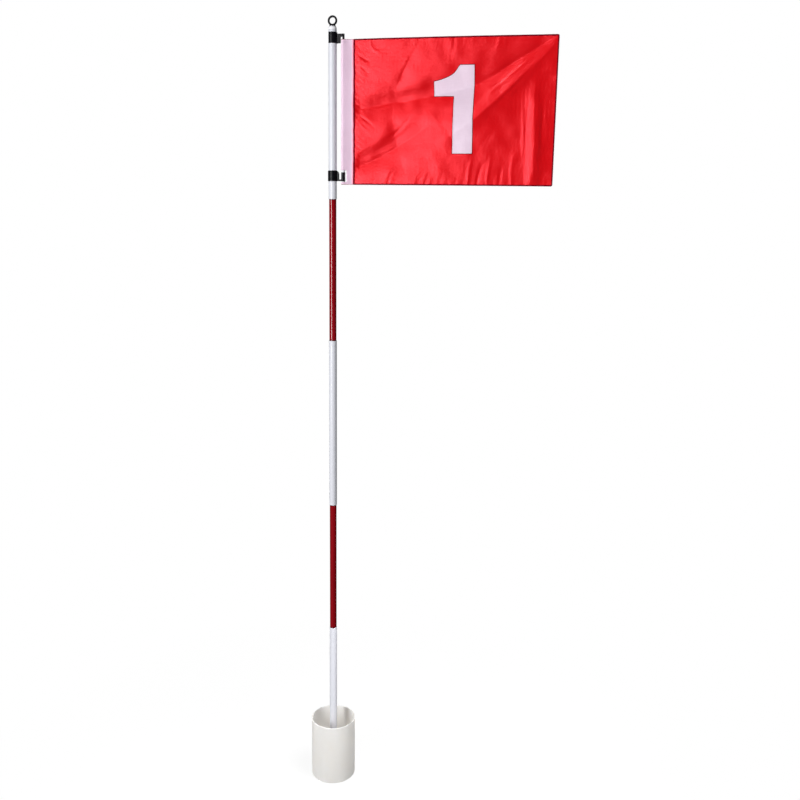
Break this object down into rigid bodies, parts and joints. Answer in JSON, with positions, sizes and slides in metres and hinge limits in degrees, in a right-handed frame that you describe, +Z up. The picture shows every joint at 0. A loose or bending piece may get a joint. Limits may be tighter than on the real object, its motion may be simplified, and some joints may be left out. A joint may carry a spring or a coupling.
{
  "type": "golf flagstick",
  "caption": "Plug-together striped golf flagstick standing in a straight plastic hole cup, with a cloth flag on two snap clips and a ring on the cap.",
  "frame": {"origin": "centre of the hole cup's bottom face, on the stick's axis", "axes": "+Z up along the stick, +X from the stick towards the flag's free edge, +Y away from the viewer's side of the flag, so the flag lies in the XZ plane"},
  "size_m": [0.5326, 0.108, 1.8032],
  "materials": {
    "cup_plastic": "satin ivory injection-moulded plastic, slightly translucent",
    "ferrule_metal": "turned bright metal with fine lathe marks",
    "white_tube": "smooth cool-white tube, satin gloss",
    "red_tube": "deep red lacquered tube, very glossy with a narrow highlight",
    "bush_plastic": "plain moulded grey",
    "cap_plastic": "smooth white moulded plastic",
    "black_plastic": "black moulded plastic, semi-gloss",
    "flag_tube_plastic": "extruded white plastic",
    "white_cloth": "white woven polyester with a faint lilac cast",
    "red_cloth": "bright red woven polyester, slight sheen, soft wrinkles",
    "edge_thread": "dense dark-red overlock thread",
    "numeral_cloth": "white woven polyester applique"
  },
  "bodies": {
    "cup": {"cup": "cup_plastic", "socket_ferrule": "ferrule_metal"},
    "stick_foot": {"foot_ferrule": "ferrule_metal", "tube_1": "white_tube", "stop_bush_1": "bush_plastic"},
    "lower_red": {"tube_2": "red_tube"},
    "middle_white": {"tube_3": "white_tube", "stop_bush_2": "bush_plastic", "stop_bush_3": "bush_plastic"},
    "upper_red": {"tube_4": "red_tube"},
    "top_white": {"tube_5": "white_tube", "stop_bush_4": "bush_plastic", "top_cap": "cap_plastic", "eye_ring": "black_plastic"},
    "clip_top": {"upper_clip": "black_plastic"},
    "clip_low": {"lower_clip": "black_plastic"},
    "flag": {"flag_tube": "flag_tube_plastic", "hoist_sleeve": "white_cloth", "flag_panel": "red_cloth", "edge_binding": "edge_thread", "numeral_front": "numeral_cloth", "numeral_back": "numeral_cloth"}
  },
  "joints": [
    {"name": "stick_lift", "type": "slide", "parent": "cup", "child": "stick_foot", "axis": [0, 0, 1], "range_m": [0, 0.2]},
    {"name": "lower_red_pull", "type": "slide", "parent": "stick_foot", "child": "lower_red", "axis": [0, 0, 1], "range_m": [0, 0.045]},
    {"name": "middle_white_pull", "type": "slide", "parent": "lower_red", "child": "middle_white", "axis": [0, 0, 1], "range_m": [0, 0.045]},
    {"name": "upper_red_pull", "type": "slide", "parent": "middle_white", "child": "upper_red", "axis": [0, 0, 1], "range_m": [0, 0.045]},
    {"name": "top_white_pull", "type": "slide", "parent": "upper_red", "child": "top_white", "axis": [0, 0, 1], "range_m": [0, 0.045]},
    {"name": "clip_top_turn", "type": "hinge", "parent": "top_white", "child": "clip_top", "pos_m": [0, 0, 1.75775], "axis": [0, 0, 1], "continuous": true},
    {"name": "clip_low_turn", "type": "hinge", "parent": "top_white", "child": "clip_low", "pos_m": [0, 0, 1.47175], "axis": [0, 0, 1], "continuous": true},
    {"name": "flag_swing", "type": "hinge", "parent": "clip_top", "child": "flag", "pos_m": [0.0242, 0, 1.604], "axis": [0, 0, 1], "range_deg": [-130, 130]}
  ],
  "couplings": [
    {"joint": "clip_low_turn", "follows": "clip_top_turn", "ratio": 1}
  ]
}
